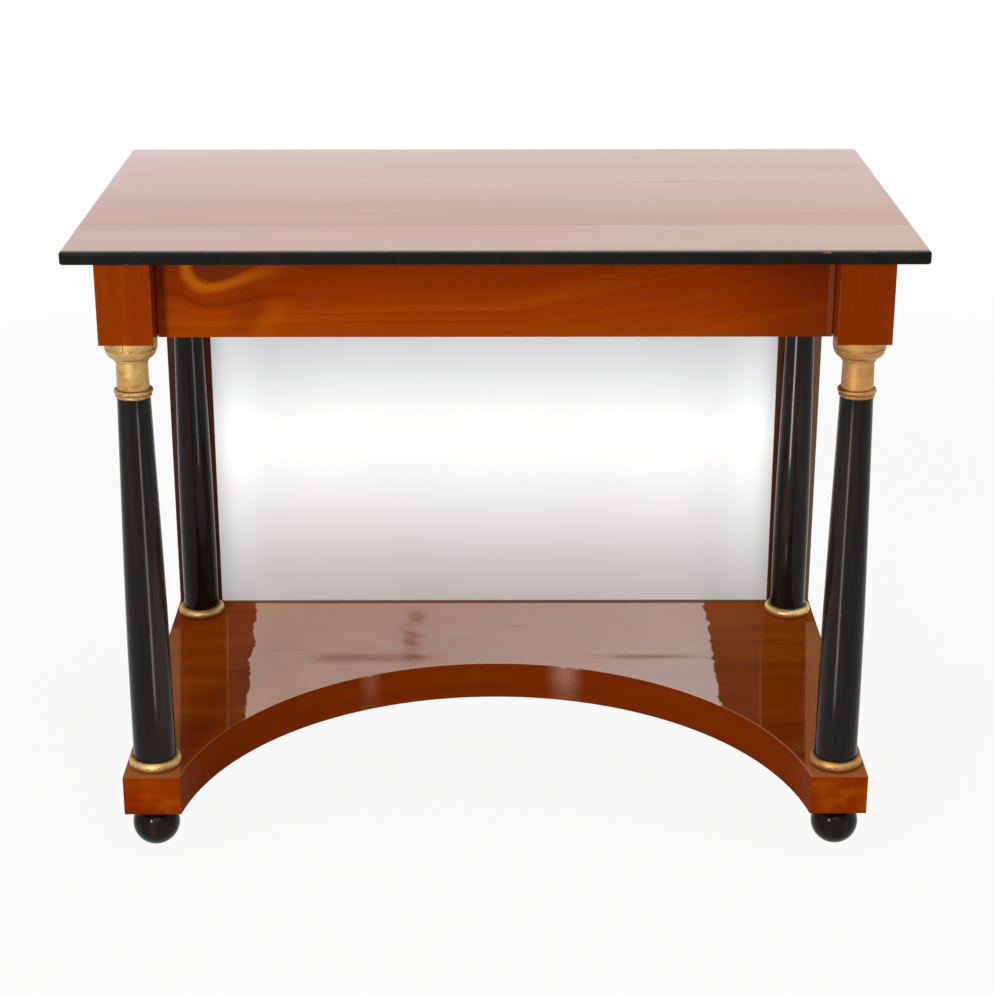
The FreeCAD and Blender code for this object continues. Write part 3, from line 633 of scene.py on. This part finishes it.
for side, drift in zip(SIDES, PILASTER_DRIFTS):
    aged, place = finish("cherry_pilaster_" + side)
    x, y, z = split(place)
    bands, lines, mottle, _ = cherry_figure(place, "Z", drift)
    colour = blend(ease(0.6 * bands + 0.4 * mottle, 0.38, 0.62), PILASTER_DARK, PILASTER_PALE)
    colour = blend(ease(z, 0.46, 0.60) * 0.5, colour, PILASTER_HEAD)
    # Painted light on the inner strips beside the columns, and a painted reflection on the right
    # pilaster's outer edge.
    colour = blend(ease(x, -0.446, -0.436) * ease(x, -0.42, -0.425) * 0.8, colour, PILASTER_LEFT_INNER_LIGHT)
    colour = blend(ease(x, 0.440, 0.430) * ease(x, 0.420, 0.425) * 0.5, colour, PILASTER_RIGHT_INNER_LIGHT)
    colour = blend(ease(x, 0.474, 0.480) * ease(y, 0.3055, 0.3045) * 0.85, colour, PILASTER_OUTER_REFLECTION)
    lay(place, cherry_polish(place, colour, lines, PILASTER_REFRACTION))
    dress(["pilaster_" + side], aged)
eased(each("pilaster", SIDES), ARRIS_WIDTH)

silvering, place = finish("hazy_silvering")
x, y, z = split(place)
fog = cloud(place, even(3), 3.0)
# The silver's colour is painted: lighter towards the ends to even out the columns' shade in its
# reflection, and painted shade in the corners, by the ends, at foot and head.
inward = abs(x)
silver = blend(ease(inward, 0.41, 0.33), SILVER_ENDS, SILVER_SIDES)
silver = blend(ease(inward, 0.34, 0.10), silver, SILVER_MIDDLE)
silver = blend(ease(z, 0.36, 0.50) * ease(inward, 0.15, 0.36), silver, stretched(silver, CORNER_LIGHT))
ends = near(z, 0.34, 0.16) * ease(inward, 0.27, 0.37) * (0.55 + 0.45 * ease(x, 0.0, 0.1))
silver = blend(ends, silver, stretched(silver, END_LIGHT))
silver = blend(ease(z, 0.42, 0.02), silver, stretched(silver, FOOT_LIGHT))
silver = blend(ease(z, 0.36, 0.60), silver, stretched(silver, HEAD_LIGHT))
# A painted shadow line where the glass stands on the platform.
seat_shadow = ease(z, SEAT_SHADOW_LEVEL, SEAT_SHADOW_FULL)
silver = blend(seat_shadow, silver, SEAT_SHADOW_COLOUR)
sockets = {"Base Color": silver, "Metallic": 1.0 - 0.8 * seat_shadow, "Roughness": 0.58 + 0.04 * fog}
lay(place, polish(place, sockets))
dress(["mirror_glass"], silvering)
dress(["mirror_back_board"], softwood("back_board", "X", 9.0))


def steel(name, along):
    """Hand-filed iron screws, grey and a little rusty."""
    material, place = finish("iron_" + name)
    filing = cloud(place, lengthwise(along, 120.0, 1500.0), 2.0)
    rust = ease(cloud(place, even(180), 4.0), 0.5, 0.72)
    sockets = {
        "Base Color": blend(rust, IRON_GREY, IRON_RUST), "Metallic": 1.0 - 0.7 * rust,
        "Roughness": 0.3 + 0.2 * filing + 0.2 * rust,
    }
    lay(place, polish(place, sockets, filing, IRON_RELIEF))
    return material


dress(["back_board_screws"], steel("back_board_screws", "Z"))


# Frieze. Square blocks stand over the columns, and rails are tenoned between them at sides and back.
# The blocks and side rails are faced with cherry, with the grain upright on the blocks.
# The right-hand blocks are painted darker than the left-hand ones, as painted shade away from the light.
BLOCK_TONES_AND_SHADE = (0.94, 0.89, 0.94, 0.89)
BLOCK_DRIFTS = (31.0, 33.9, 36.8, 39.7)
BLOCK_CONTRAST = 1.2
FRIEZE_SIDE_DRIFTS = (43.0, 46.3)

for corner, tone, drift in zip(CORNERS, BLOCK_TONES_AND_SHADE, BLOCK_DRIFTS):
    cherry("frieze_block_" + corner, "Z", tone, drift, BLOCK_CONTRAST)
for side, drift in zip(SIDES, FRIEZE_SIDE_DRIFTS):
    cherry("frieze_side_rail_" + side, "Y", SIDE_TONE, drift)
eased(each("frieze_block", CORNERS) + each("frieze_side_rail", SIDES), ARRIS_WIDTH)
dress(["frieze_back_rail"], softwood("frieze_back", "X", 12.0))


# Drawer housing. Pine rails above and below the drawer, with runners, guides, kickers and stops.
# All are plain planed pine, glued into the frieze and waxed only where the drawer slides.
dress(["drawer_rail_lower", "drawer_rail_upper"], softwood("drawer_rails", "X", 15.0))
slides = softwood("drawer_slides", "Y", 18.0)
for part in ("drawer_runner", "drawer_guide", "drawer_kicker"):
    dress(each(part, SIDES), slides)
dress(["drawer_stops"], softwood("drawer_stops", "X", 21.0))


# Drawer. The whole frieze panel is its front, a pine board faced with one long leaf of cherry.
# Its figure dips round a knot near the upper left corner, where a streak of sapwood shows.
FRONT_DRIFT = 52.0
FRONT_TONE = 1.12
FRONT_CONTRAST = 2.3
FRONT_UPPER_SHADE = tint(112, 36, 1)
FRONT_LOWER_LIGHT = tint(178, 80, 4)
FRONT_RUBBED_WIDTH = 0.0025
FRONT_ARRIS_WIDTH = 0.0004
KNOT_X = -0.357
KNOT_TOP = 0.8015
KNOT_LEFT = 0.0275
KNOT_RIGHT = 0.050
KNOT_DIP = 0.030
KNOT_HEART = tint(108, 44, 14)
SLANT = 0.18
SLANT_FROM = 0.02
FLAME_LEVEL = 0.744
FLAME_X = 0.078
FLAME_WIDTH = 0.026
FLAME_COLOUR = tint(182, 84, 4)
FLAME_SHADE_X = 0.046
FLAME_SHADE_WIDTH = 0.036
FLAME_SHADE_HEIGHT = 0.046
FLAME_SHADE_COLOUR = tint(104, 40, 4)
SAP_LEVEL = 0.799
SAP_WIDTH = 0.0132
SAP_COLOUR = tint(206, 112, 12)
LATE_LINE_LEVEL = 0.7288
LATE_LINE_WIDTH = 0.0014
LATE_LINE_COLOUR = tint(100, 30, 1)
RIGHT_PART = tint(96, 24, 1)
RIGHT_END_REFLECTION = tint(150, 80, 46)
LEFT_END_SHADOW = tint(84, 26, 4)
TAIL_FOOT = 0.7274
TAIL_HEAD = 0.7981
TAIL_HEIGHT = 0.0205
TAIL_ROOT_Y = -0.238
TAIL_FLARE = 8.0
TAIL_COLOUR = tint(186, 144, 94)

front, place = finish("cherry_drawer_front")
x, y, z = split(place)
waver = 0.007 * (cloud(place, (5, 5, 20), 2.0) - 0.5)
across = x - KNOT_X
leftward = (place.sum("MINIMUM", across, 0.0) / KNOT_LEFT) ** 2.0
rightward = (place.sum("MAXIMUM", across, 0.0) / KNOT_RIGHT) ** 2.0
downward = (place.sum("MAXIMUM", KNOT_TOP - z, 0.0) / KNOT_LEFT) ** 2.0
curl = place.sum("SQRT", leftward + downward) + 20.0 * waver
dip = KNOT_DIP * ease(z, 0.70, 0.80) * place.sum("EXPONENT", 0.0 - (leftward + rightward))
level = z + dip - SLANT * place.sum("MAXIMUM", x - SLANT_FROM, 0.0) + waver
bands, lines, _, pores = cherry_figure(joined(place, x, y, level), "X", FRONT_DRIFT)
drifts = cloud(joined(place, x + 4.0, y, level), lengthwise("X", 1.3, 26.0), 3.0)
colour = cherry_colour((bands, lines, drifts, pores), FRONT_TONE, FRONT_CONTRAST)
# Painted shade darkens the upper part under the top, and painted light lifts the lower part.
colour = blend(ease(z, 0.745, 0.812) * 0.5, colour, FRONT_UPPER_SHADE)
colour = blend(ease(z, 0.748, 0.714) * 0.35, colour, FRONT_LOWER_LIGHT)
below = FLAME_LEVEL - z
flame_shade = near(across + 4.0 * waver + 0.3 * below, FLAME_SHADE_X, FLAME_SHADE_WIDTH)
flame_shade = flame_shade * near(z, FLAME_LEVEL, FLAME_SHADE_HEIGHT)
colour = blend(flame_shade * 0.42, colour, FLAME_SHADE_COLOUR)
flame = near(across + 4.0 * waver + 0.4 * below, FLAME_X, FLAME_WIDTH) * ease(z, 0.774, 0.738)
colour = blend(flame * 0.5, colour, FLAME_COLOUR)
right_hand = ease(across, -0.001, 0.001)
left_hand = 1.0 - right_hand
above = right_hand * ease(level, SAP_LEVEL + 0.006, SAP_LEVEL + 0.012) * ease(across, 0.085, 0.030)
above = left_hand * ease(curl, 0.82, 0.60) + above
colour = blend(above * 0.75, colour, KNOT_HEART)
trail = (0.2 + 0.8 * ease(across, 0.105, 0.010)) * ease(across, 0.120, 0.080)
sapwood = left_hand * near(curl, 0.96, 0.44) + right_hand * near(level, SAP_LEVEL, SAP_WIDTH) * trail
colour = blend(sapwood * (0.35 + 0.75 * lines), colour, SAP_COLOUR)
late_line = near(level, LATE_LINE_LEVEL, LATE_LINE_WIDTH) * ease(x, -0.26, -0.20) * ease(x, 0.06, 0.00)
colour = blend(late_line * 0.3, colour, LATE_LINE_COLOUR)
# The front darkens towards its right end; at the very right end lies a painted reflection of the right
# block's side, and at the left end the left block's painted shadow.
colour = blend(ease(x, 0.26, 0.39) * 0.5, colour, RIGHT_PART)
colour = blend(ease(x, 0.4130, 0.4144) * 0.7, colour, RIGHT_END_REFLECTION)
colour = blend(ease(x, -0.4098, -0.4116) * 0.3, colour, LEFT_END_SHADOW)
tail = (z - TAIL_FOOT) / TAIL_HEIGHT
tail = abs(tail - place.sum("FLOOR", tail) - 0.5)
tails = ease(0.30 + TAIL_FLARE * (TAIL_ROOT_Y - y) - tail, -0.01, 0.01)
tails = tails * ease(y, -0.2492, -0.2490) * ease(abs(x), 0.4203, 0.4206)
tails = tails * ease(z, TAIL_FOOT - 0.0002, TAIL_FOOT + 0.0002)
tails = tails * ease(z, TAIL_HEAD + 0.0001, TAIL_HEAD - 0.0001)
colour = blend(tails, colour, TAIL_COLOUR)
rubbed = ease(arris(place, "drawer_front"), FRONT_RUBBED_WIDTH, 0.0)
rubbed = rubbed * ease(cloud(place, even(60), 4.0), 0.4, 0.7)
colour = blend(rubbed * 0.35, colour, CHERRY_RUBBED)
lay(place, cherry_polish(place, colour, lines, CHERRY_REFRACTION))
dress(["drawer_front"], front)
eased(["drawer_front"], FRONT_ARRIS_WIDTH)

dress(each("drawer_side", SIDES), softwood("drawer_sides", "Y", 24.0))
dress(["drawer_back"], softwood("drawer_back", "X", 27.0))
dress(["drawer_bottom"], softwood("drawer_bottom", "X", 30.0))
eased(each("drawer_side", SIDES) + ["drawer_back"], ARRIS_WIDTH)


# Top. A pine board laid with three leaves of cherry, and lipped at front and sides with black wood.
# The veneer runs over the side lippings. Screws from the kickers and the upper rail hold it down.
TOP_JOINTS = (-0.167, 0.077)
TOP_SURFACE = 0.831886
TOP_SKIN_FROM = 0.0004
TOP_SKIN_TO = 0.0002
TOP_RELIEF = 0.00018
TOP_DRIFT = 61.0
TOP_TONE = 1.15
TOP_CONTRAST = 1.6
TOP_GOLDEN = tint(184, 106, 24)
TOP_JOINT_DIRT = tint(110, 44, 14)
RIDGE_WIDTH = 0.004
GROOVE_Y = 0.0868
GROOVE_WIDTH = 0.006
GROOVE_X = 0.27
GROOVE_REACH = 0.12
WINDOW_BAND_Y = 0.100
WINDOW_BAND_WIDTH = 0.045
LIPPING_REFRACTION = 1.22
SIDE_LIPPING_DULLNESS = 0.2
LIPPING_BLACK = tint(11, 11, 10)
LIPPING_DUST = tint(26, 24, 21)
LIPPING_CHIP = tint(150, 122, 86)
LIPPING_RELIEF = 0.00005
LOWER_RIM = 0.8163
LOWER_RIM_WIDTH = 0.0016
UPPER_RIM = 0.8310
UPPER_RIM_WIDTH = 0.0012
KNOCK_X = -0.236
KNOCK_REACH = 0.016
KNOCK_Z = 0.8165
KNOCK_WIDTH = 0.0018


def top_veneer(place):
    """Three leaves of cherry under a deep polish that mirrors the room in soft bands."""
    x, y, z = split(place)
    colour, number, line = cherry_leaves(place, TOP_JOINTS, TOP_DRIFT, TOP_TONE, TOP_CONTRAST)
    colour = blend(0.55 + 0.2 * ease(x, 0.10, 0.45), colour, TOP_GOLDEN)
    colour = blend(line * 0.3, colour, TOP_JOINT_DIRT)
    wash = cloud(moved(place, (3.0, 5.0, 0.0)), (1.1, 15.0, 1.0), 4.0, 0.6)
    middle_leaf = near(number, 1.0, 0.5) * ease(y, 0.08, -0.08)
    groove = near(y, GROOVE_Y, GROOVE_WIDTH) * near(x, GROOVE_X, GROOVE_REACH)
    cool_corner = ease(y - 0.5 * x, 0.10, 0.55)
    ridge = near(y, TOP_JOINTS[1], RIDGE_WIDTH) * ease(x, 0.10, -0.10)
    ridge = ridge * ease(cloud(place, even(3), 2.0), 0.4, 0.55)
    window_band = near(y, WINDOW_BAND_Y, WINDOW_BAND_WIDTH) * ease(x, 0.16, 0.02) * ease(x, -0.47, -0.36)
    shine = 0.77 + 0.4 * (wash - 0.5) - 0.18 * middle_leaf - 0.25 * groove + 0.14 * cool_corner
    shine = shine + 0.2 * ridge + 0.14 * window_band + 0.06 * ease(y, 0.20, 0.28)
    ripple = cloud(place, (5, 20, 20), 2.0) + 0.3 * cloud(place, (14, 60, 60), 2.0) - 0.4 * line
    return polish(place, {
        "Base Color": colour, "Roughness": 0.10 + 0.10 * wash, "IOR": 1.36,
        "Coat Weight": shine, "Coat Roughness": 0.08, "Coat IOR": 1.6,
    }, ripple, TOP_RELIEF)


def upper_face(place):
    """1 on the top's upper face, 0 below it."""
    return ease(split(place)[2], TOP_SURFACE - TOP_SKIN_FROM, TOP_SURFACE - TOP_SKIN_TO)


board, place = finish("cherry_top")
lay(place, either(upper_face(place), pine(place, "X", 33.0), top_veneer(place)))
dress(["top_board"], board)

lipped, place = finish("ebonised_side_lipping")
stained = black_stain(place, "Y", LIPPING_REFRACTION, SIDE_LIPPING_DULLNESS)
lay(place, either(upper_face(place), stained, top_veneer(place)))
dress(each("top_lipping", SIDES), lipped)

lipping, place = finish("ebonised_front_lipping")
x, y, z = split(place)
pores = cloud(place, lengthwise("X", 18, 700), 2.0)
dust = cloud(place, even(24), 5.0, 0.65)
rim = place.sum("MAXIMUM", near(z, LOWER_RIM, LOWER_RIM_WIDTH), near(z, UPPER_RIM, UPPER_RIM_WIDTH))
knocked = near(x, KNOCK_X, KNOCK_REACH) * near(z, KNOCK_Z, KNOCK_WIDTH)
chips = (rim * 0.92 + knocked * 0.3) * ease(cloud(place, (34, 34, 260), 3.0) + 0.2 * knocked, 0.64, 0.70)
stain = blend(ease(dust, 0.45, 0.75), LIPPING_BLACK, LIPPING_DUST)
stain = blend(chips * 0.8, stain, LIPPING_CHIP)
sockets = {"Base Color": stain, "Roughness": 0.12 + 0.2 * dust, "IOR": LIPPING_REFRACTION}
lay(place, polish(place, sockets, pores - chips, LIPPING_RELIEF))
dress(["top_lipping_front"], lipping)
dress(["top_screws"], steel("top_screws", "X"))


# Studio stage: a plain pale floor that keeps a soft shadow, under soft light.
# The background is white to the eye and in reflections, and gives no more light for it.
FLOOR_REACH = 9.0
FLOOR_PAINT = (0.80, 0.80, 0.80, 1.0)
SHADOW_REACH = 1.4
WHITE_FROM = 3.6
WHITE = (1.0, 1.0, 1.0, 1.0)
ROOM_LIGHT = (1.0, 0.985, 0.96, 1.0)
ROOM_STRENGTH = 0.28

floor_mesh = bpy.data.meshes.new("studio_floor")
floor_corners = [(side_x * FLOOR_REACH, side_y * FLOOR_REACH, 0)
                 for side_x, side_y in ((-1, -1), (1, -1), (1, 1), (-1, 1))]
floor_mesh.from_pydata(floor_corners, [], [(0, 1, 2, 3)])
floor = bpy.data.objects.new("studio_floor", floor_mesh)
bpy.context.scene.collection.objects.link(floor)


def seen(shade):
    """1 for what the eye sees, straight or in a reflection, and 0 for light that falls on things."""
    path = shade.node("ShaderNodeLightPath").socket.node.outputs
    eye, gloss, through = [Shade(shade.tree, path[name]) for name in
                           ("Is Camera Ray", "Is Glossy Ray", "Is Transmission Ray")]
    return shade.sum("MINIMUM", eye + gloss + through, 1.0)


pale, place = finish("pale_floor")
x, y, z = split(place)
far = ease(place.sum("SQRT", x * x + y * y), SHADOW_REACH, WHITE_FROM)
paint = place.node("ShaderNodeBsdfDiffuse", {}, {"Color": FLOOR_PAINT})
white = place.node("ShaderNodeEmission", {}, {"Color": WHITE, "Strength": 1.0})
lay(place, either(seen(place) * (0.93 + 0.07 * far), paint, white))
floor.data.materials.append(pale)

world = bpy.data.worlds.new("studio")
world.use_nodes = True
world.node_tree.nodes.clear()
bpy.context.scene.world = world
sky = Shade(world.node_tree)
room = sky.node("ShaderNodeBackground", {}, {"Color": ROOM_LIGHT, "Strength": ROOM_STRENGTH})
backdrop = sky.node("ShaderNodeBackground", {}, {"Color": WHITE, "Strength": 1.0})
sky.node("ShaderNodeOutputWorld", {}, {"Surface": either(seen(sky), room, backdrop)})


# Lamps: soft windows at left and front, light from above, and a card of light for the glass.
# Narrow lamps draw the slim light lines on the columns, and one puts the small lights on the feet.
TABLE_MIDDLE = (0.0, -0.1, 0.5)
TABLE_TOP = (0.0, 0.0, 0.8)
GLASS_MIDDLE = (0.0, 0.3, 0.5)
FRONT_FEET = (0.0, -0.256, 0.03)
DAYLIGHT = (1.0, 0.97, 0.93)
LAMPLIGHT = (1.0, 0.98, 0.95)
COOL_CARD = (0.96, 0.99, 1.0)
STRIP_LAMP_WIDTH = 0.07
# Strip lamps are given by the column they light, their stand, their height and their glow.
STRIP_LAMPS = (
    ("column_shaft_front_left", (-0.275, -0.635, 0.27), 0.48, 10.0),
    ("column_shaft_front_right", (0.243, -0.618, 0.27), 0.48, 10.0),
    ("column_shaft_rear_left", (-0.207, -0.084, 0.37), 0.26, 8.0),
    ("column_shaft_rear_right", (0.207, -0.084, 0.37), 0.26, 34.0),
)


def softbox(name, stand, aim, width, height, glow, colour):
    """A lamp behind a diffusing cloth. Glow is its brightness, where 1 is white paper."""
    light = bpy.data.lights.new(name, "AREA")
    light.shape = "RECTANGLE"
    light.size, light.size_y = width, height
    light.energy = glow * math.pi * width * height
    light.color = colour
    lamp = bpy.data.objects.new(name, light)
    lamp.location = stand
    lamp.rotation_euler = (Vector(aim) - Vector(stand)).to_track_quat("-Z", "Y").to_euler()
    lamp.visible_camera = False
    bpy.context.scene.collection.objects.link(lamp)
    return lamp


def shone_on(lamp, pieces):
    """Flags round a lamp, so that its light falls only on these pieces. Gives them as a collection."""
    lit = bpy.data.collections.new("lit_by_" + lamp.name)
    for piece in pieces:
        lit.objects.link(piece)
    lamp.light_linking.receiver_collection = lit
    return lit


key = softbox("window_left", (-1.35, -2.9, 1.15), TABLE_MIDDLE, 0.5, 0.6, 34.0, DAYLIGHT)
shone_on(key, [floor] + [piece for name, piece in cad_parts.items() if name != "mirror_glass"])
softbox("window_front", (0.3, -4.6, 2.5), TABLE_MIDDLE, 2.6, 0.9, 2.6, LAMPLIGHT)
card = softbox("mirror_card", (-0.12, -3.4, 1.2), GLASS_MIDDLE, 5.0, 2.4, 3.2, COOL_CARD)
card.light_linking.blocker_collection = shone_on(card, [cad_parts["mirror_glass"]])
softbox("overhead", (0.0, -0.4, 3.2), TABLE_TOP, 2.4, 1.6, 2.6, LAMPLIGHT)
glint = softbox("glint_for_feet", (-0.10, -1.20, 1.30), FRONT_FEET, 0.9, 0.26, 34.0, LAMPLIGHT)
shone_on(glint, [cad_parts[name] for name in each("ball_foot", CORNERS)])
for column, stand, height, glow in STRIP_LAMPS:
    low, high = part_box(column)
    middle = Vector(low).lerp(Vector(high), 0.5)
    aim = (middle.x, middle.y, stand[2])
    lamp = softbox("strip_for_" + column, stand, aim, STRIP_LAMP_WIDTH, height, glow, LAMPLIGHT)
    shone_on(lamp, [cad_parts[column]])


# Camera, at the eye of the photograph: a little to the left of the middle and above the top.
# It looks down on the table and very slightly to the right, through a fairly long lens.
EYE = (-0.0072, -2.9556, 1.5041)
LOOK_DOWN = math.radians(20.465)
LOOK_RIGHT = math.radians(0.1957)
LENS = 81.20
FILM_WIDTH = 36.0
NEAREST = 0.05
FARTHEST = 60.0

lens = bpy.data.cameras.new("eye")
lens.lens = LENS
lens.sensor_width = FILM_WIDTH
lens.clip_start = NEAREST
lens.clip_end = FARTHEST
eye = bpy.data.objects.new("eye", lens)
eye.location = EYE
eye.rotation_euler = (math.pi / 2 - LOOK_DOWN, 0.0, -LOOK_RIGHT)
bpy.context.scene.collection.objects.link(eye)
bpy.context.scene.camera = eye
bpy.context.scene.view_settings.view_transform = "Standard"
